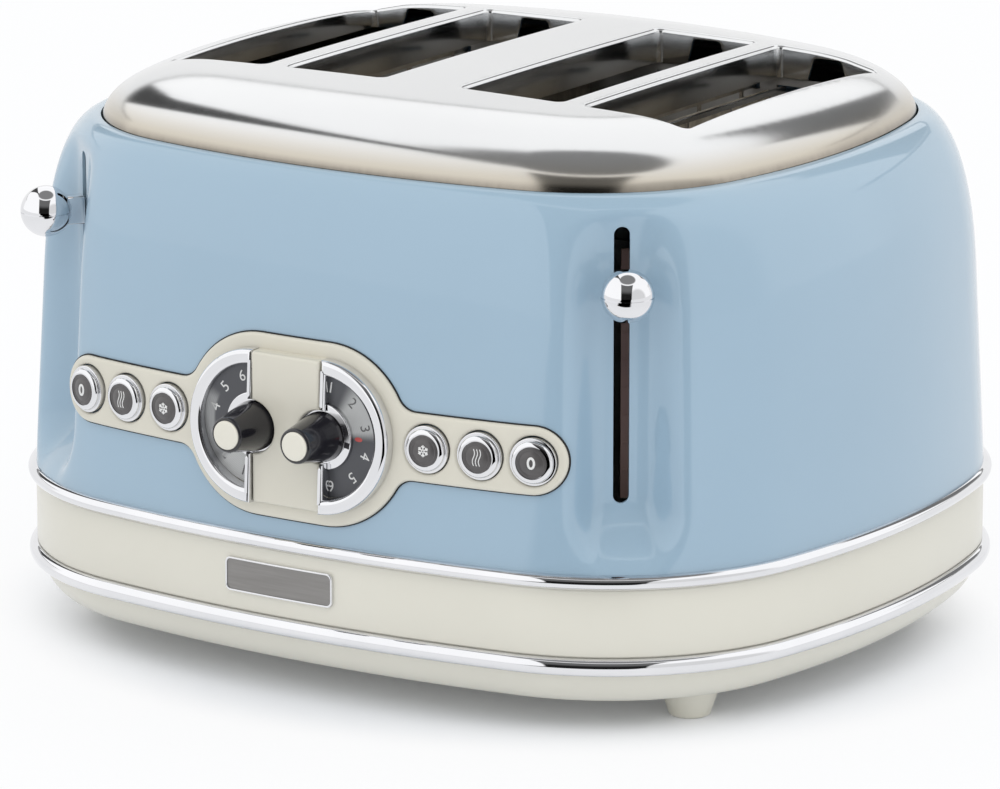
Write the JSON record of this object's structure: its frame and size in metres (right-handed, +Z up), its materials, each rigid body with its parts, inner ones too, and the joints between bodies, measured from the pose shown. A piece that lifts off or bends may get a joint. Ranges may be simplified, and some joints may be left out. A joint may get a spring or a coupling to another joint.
{
  "type": "four-slot toaster",
  "caption": "Free-standing toaster with sliding levers, lift carriages, closing bread guards, dial knobs, push buttons and pull-out crumb trays.",
  "frame": {"origin": "on the ground under the middle of the bounding box", "axes": "+X to the right as seen from the front, the front faces -Y, +Z up"},
  "size_m": [0.336, 0.3044, 0.2092],
  "materials": {
    "blue_paint": "gloss",
    "cream_plastic": "gloss",
    "chrome_parts": "polished",
    "stainless_cap": "satin",
    "inner_steel": "plain",
    "black_knob": "gloss",
    "dark_face": "satin",
    "mica_card": "plain",
    "board": "plain",
    "gland_rubber": "plain"
  },
  "bodies": {
    "housing": {"body_shell": "blue_paint", "top_cap": "stainless_cap", "lower_trim": "chrome_parts", "upper_trim": "chrome_parts", "base_band": "cream_plastic", "base_pan": "cream_plastic", "foot_front_left": "cream_plastic", "foot_front_right": "cream_plastic", "foot_back_left": "cream_plastic", "foot_back_right": "cream_plastic", "cord_gland": "gland_rubber", "control_plate": "cream_plastic", "dial_scale": "dark_face", "control_board": "board", "inner_frame_front": "inner_steel", "inner_frame_back": "inner_steel", "heater_card_1": "mica_card", "heater_card_2": "mica_card", "heater_card_3": "mica_card", "heater_card_4": "mica_card", "heater_card_5": "mica_card", "heater_card_6": "mica_card", "dial_frame_left": "chrome_parts", "lift_spring_left": "inner_steel", "guide_rod_left": "inner_steel", "latch_magnet_left": "inner_steel", "dial_frame_right": "chrome_parts", "lift_spring_right": "inner_steel", "guide_rod_right": "inner_steel", "latch_magnet_right": "inner_steel"},
    "lever_left": {"lever_ball_left": "chrome_parts", "lever_arm_left": "chrome_parts", "bread_carriage_left": "inner_steel"},
    "knob_left": {"knob_skirt_left": "chrome_parts", "knob_body_left": "black_knob", "knob_cap_left": "cream_plastic"},
    "guards_left_a": {"guards_left_a": "inner_steel"},
    "guards_left_b": {"guards_left_b": "inner_steel"},
    "tray_left": {"crumb_tray_left": "inner_steel"},
    "lever_right": {"lever_ball_right": "chrome_parts", "lever_arm_right": "chrome_parts", "bread_carriage_right": "inner_steel"},
    "knob_right": {"knob_skirt_right": "chrome_parts", "knob_body_right": "black_knob", "knob_cap_right": "cream_plastic"},
    "guards_right_a": {"guards_right_a": "inner_steel"},
    "guards_right_b": {"guards_right_b": "inner_steel"},
    "tray_right": {"crumb_tray_right": "inner_steel"},
    "push_1": {"button_1": "chrome_parts", "button_face_1": "dark_face"},
    "push_2": {"button_2": "chrome_parts", "button_face_2": "dark_face"},
    "push_3": {"button_3": "chrome_parts", "button_face_3": "dark_face"},
    "push_4": {"button_4": "chrome_parts", "button_face_4": "dark_face"},
    "push_5": {"button_5": "chrome_parts", "button_face_5": "dark_face"},
    "push_6": {"button_6": "chrome_parts", "button_face_6": "dark_face"}
  },
  "joints": [
    {"name": "lever_left_slide", "type": "slide", "parent": "housing", "child": "lever_left", "axis": [0, 0, 1], "range_m": [-0.071, 0.015], "stiffness_N_per_m": 120, "springref_m": 0.01115, "deforming": ["lift_spring_left"]},
    {"name": "guards_left_a_slide", "type": "slide", "parent": "housing", "child": "guards_left_a", "axis": [1, 0, 0], "range_m": [-0.0017, 0.0081]},
    {"name": "guards_left_b_slide", "type": "slide", "parent": "housing", "child": "guards_left_b", "axis": [-1, 0, 0], "range_m": [-0.0017, 0.0081]},
    {"name": "knob_left_turn", "type": "hinge", "parent": "housing", "child": "knob_left", "pos_m": [-0.0145, -0.14185, 0.0987], "axis": [0, -1, 0], "range_deg": [-77, 67]},
    {"name": "tray_left_slide", "type": "slide", "parent": "housing", "child": "tray_left", "axis": [0, 1, 0], "range_m": [0, 0.19]},
    {"name": "lever_right_slide", "type": "slide", "parent": "housing", "child": "lever_right", "axis": [0, 0, 1], "range_m": [-0.071, 0.015], "stiffness_N_per_m": 120, "springref_m": 0.01115, "deforming": ["lift_spring_right"]},
    {"name": "guards_right_a_slide", "type": "slide", "parent": "housing", "child": "guards_right_a", "axis": [1, 0, 0], "range_m": [-0.0017, 0.0081]},
    {"name": "guards_right_b_slide", "type": "slide", "parent": "housing", "child": "guards_right_b", "axis": [-1, 0, 0], "range_m": [-0.0017, 0.0081]},
    {"name": "knob_right_turn", "type": "hinge", "parent": "housing", "child": "knob_right", "pos_m": [0.0145, -0.14185, 0.0987], "axis": [0, -1, 0], "range_deg": [-67, 77]},
    {"name": "tray_right_slide", "type": "slide", "parent": "housing", "child": "tray_right", "axis": [0, 1, 0], "range_m": [0, 0.19]},
    {"name": "push_1_slide", "type": "slide", "parent": "housing", "child": "push_1", "axis": [0.258, 0.9662, 0], "range_m": [0, 0.0015], "stiffness_N_per_m": 400},
    {"name": "push_2_slide", "type": "slide", "parent": "housing", "child": "push_2", "axis": [0.14, 0.9902, 0], "range_m": [0, 0.0015], "stiffness_N_per_m": 400},
    {"name": "push_3_slide", "type": "slide", "parent": "housing", "child": "push_3", "axis": [0.1022, 0.9948, 0], "range_m": [0, 0.0015], "stiffness_N_per_m": 400},
    {"name": "push_4_slide", "type": "slide", "parent": "housing", "child": "push_4", "axis": [-0.1022, 0.9948, 0], "range_m": [0, 0.0015], "stiffness_N_per_m": 400},
    {"name": "push_5_slide", "type": "slide", "parent": "housing", "child": "push_5", "axis": [-0.14, 0.9902, 0], "range_m": [0, 0.0015], "stiffness_N_per_m": 400},
    {"name": "push_6_slide", "type": "slide", "parent": "housing", "child": "push_6", "axis": [-0.258, 0.9662, 0], "range_m": [0, 0.0015], "stiffness_N_per_m": 400}
  ],
  "couplings": [
    {"joint": "guards_left_a_slide", "follows": "lever_left_slide", "ratio": -0.11268},
    {"joint": "guards_left_b_slide", "follows": "lever_left_slide", "ratio": -0.11268},
    {"joint": "guards_right_a_slide", "follows": "lever_right_slide", "ratio": -0.11268},
    {"joint": "guards_right_b_slide", "follows": "lever_right_slide", "ratio": -0.11268}
  ]
}
